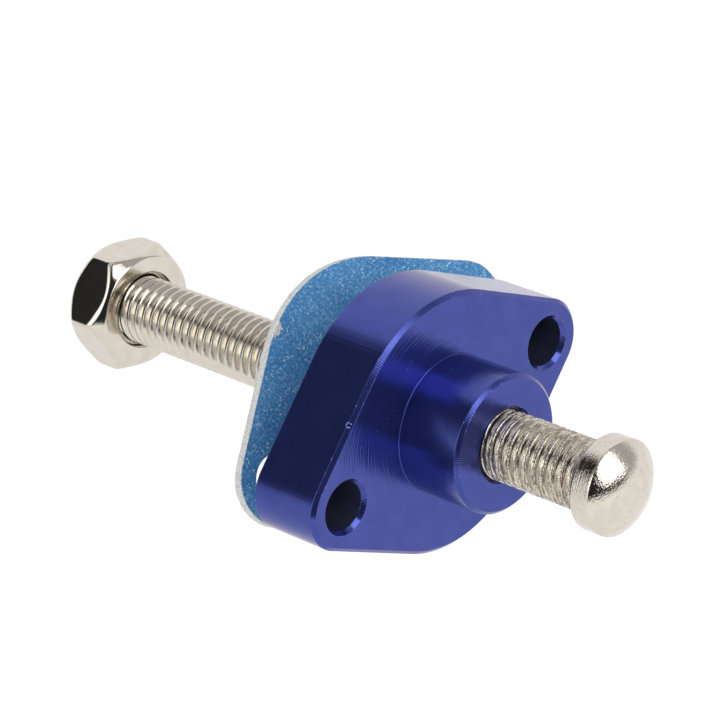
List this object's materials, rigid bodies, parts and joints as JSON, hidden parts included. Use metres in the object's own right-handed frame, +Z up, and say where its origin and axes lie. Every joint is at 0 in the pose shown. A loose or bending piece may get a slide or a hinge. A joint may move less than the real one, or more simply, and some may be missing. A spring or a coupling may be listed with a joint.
{
  "type": "cam chain tensioner",
  "caption": "Manual cam chain tensioner: diamond flange with a round boss, a threaded adjuster screw with a domed tip, a lock nut and a loose sheet gasket.",
  "frame": {"origin": "on the adjuster screw's axis, in the flange face that seats on the engine", "axes": "+X along the screw towards its domed tip, the bolt holes along Y, +Z up"},
  "size_m": [0.0816, 0.0463, 0.0317],
  "materials": {
    "blue_anodised_aluminium": "satin",
    "nickel_plated_steel": "polished",
    "blue_fibre_sheet": "matte"
  },
  "bodies": {
    "body": {"flange_body": "blue_anodised_aluminium", "gasket": "blue_fibre_sheet"},
    "adjuster": {"adjuster_screw": "nickel_plated_steel"},
    "nut": {"lock_nut": "nickel_plated_steel"}
  },
  "joints": [
    {"name": "adjuster_travel", "type": "slide", "parent": "body", "child": "adjuster", "axis": [1, 0, 0], "range_m": [-0.0132, 0.014]},
    {"name": "lock_nut_travel", "type": "slide", "parent": "adjuster", "child": "nut", "axis": [1, 0, 0], "range_m": [0, 0.014]}
  ]
}
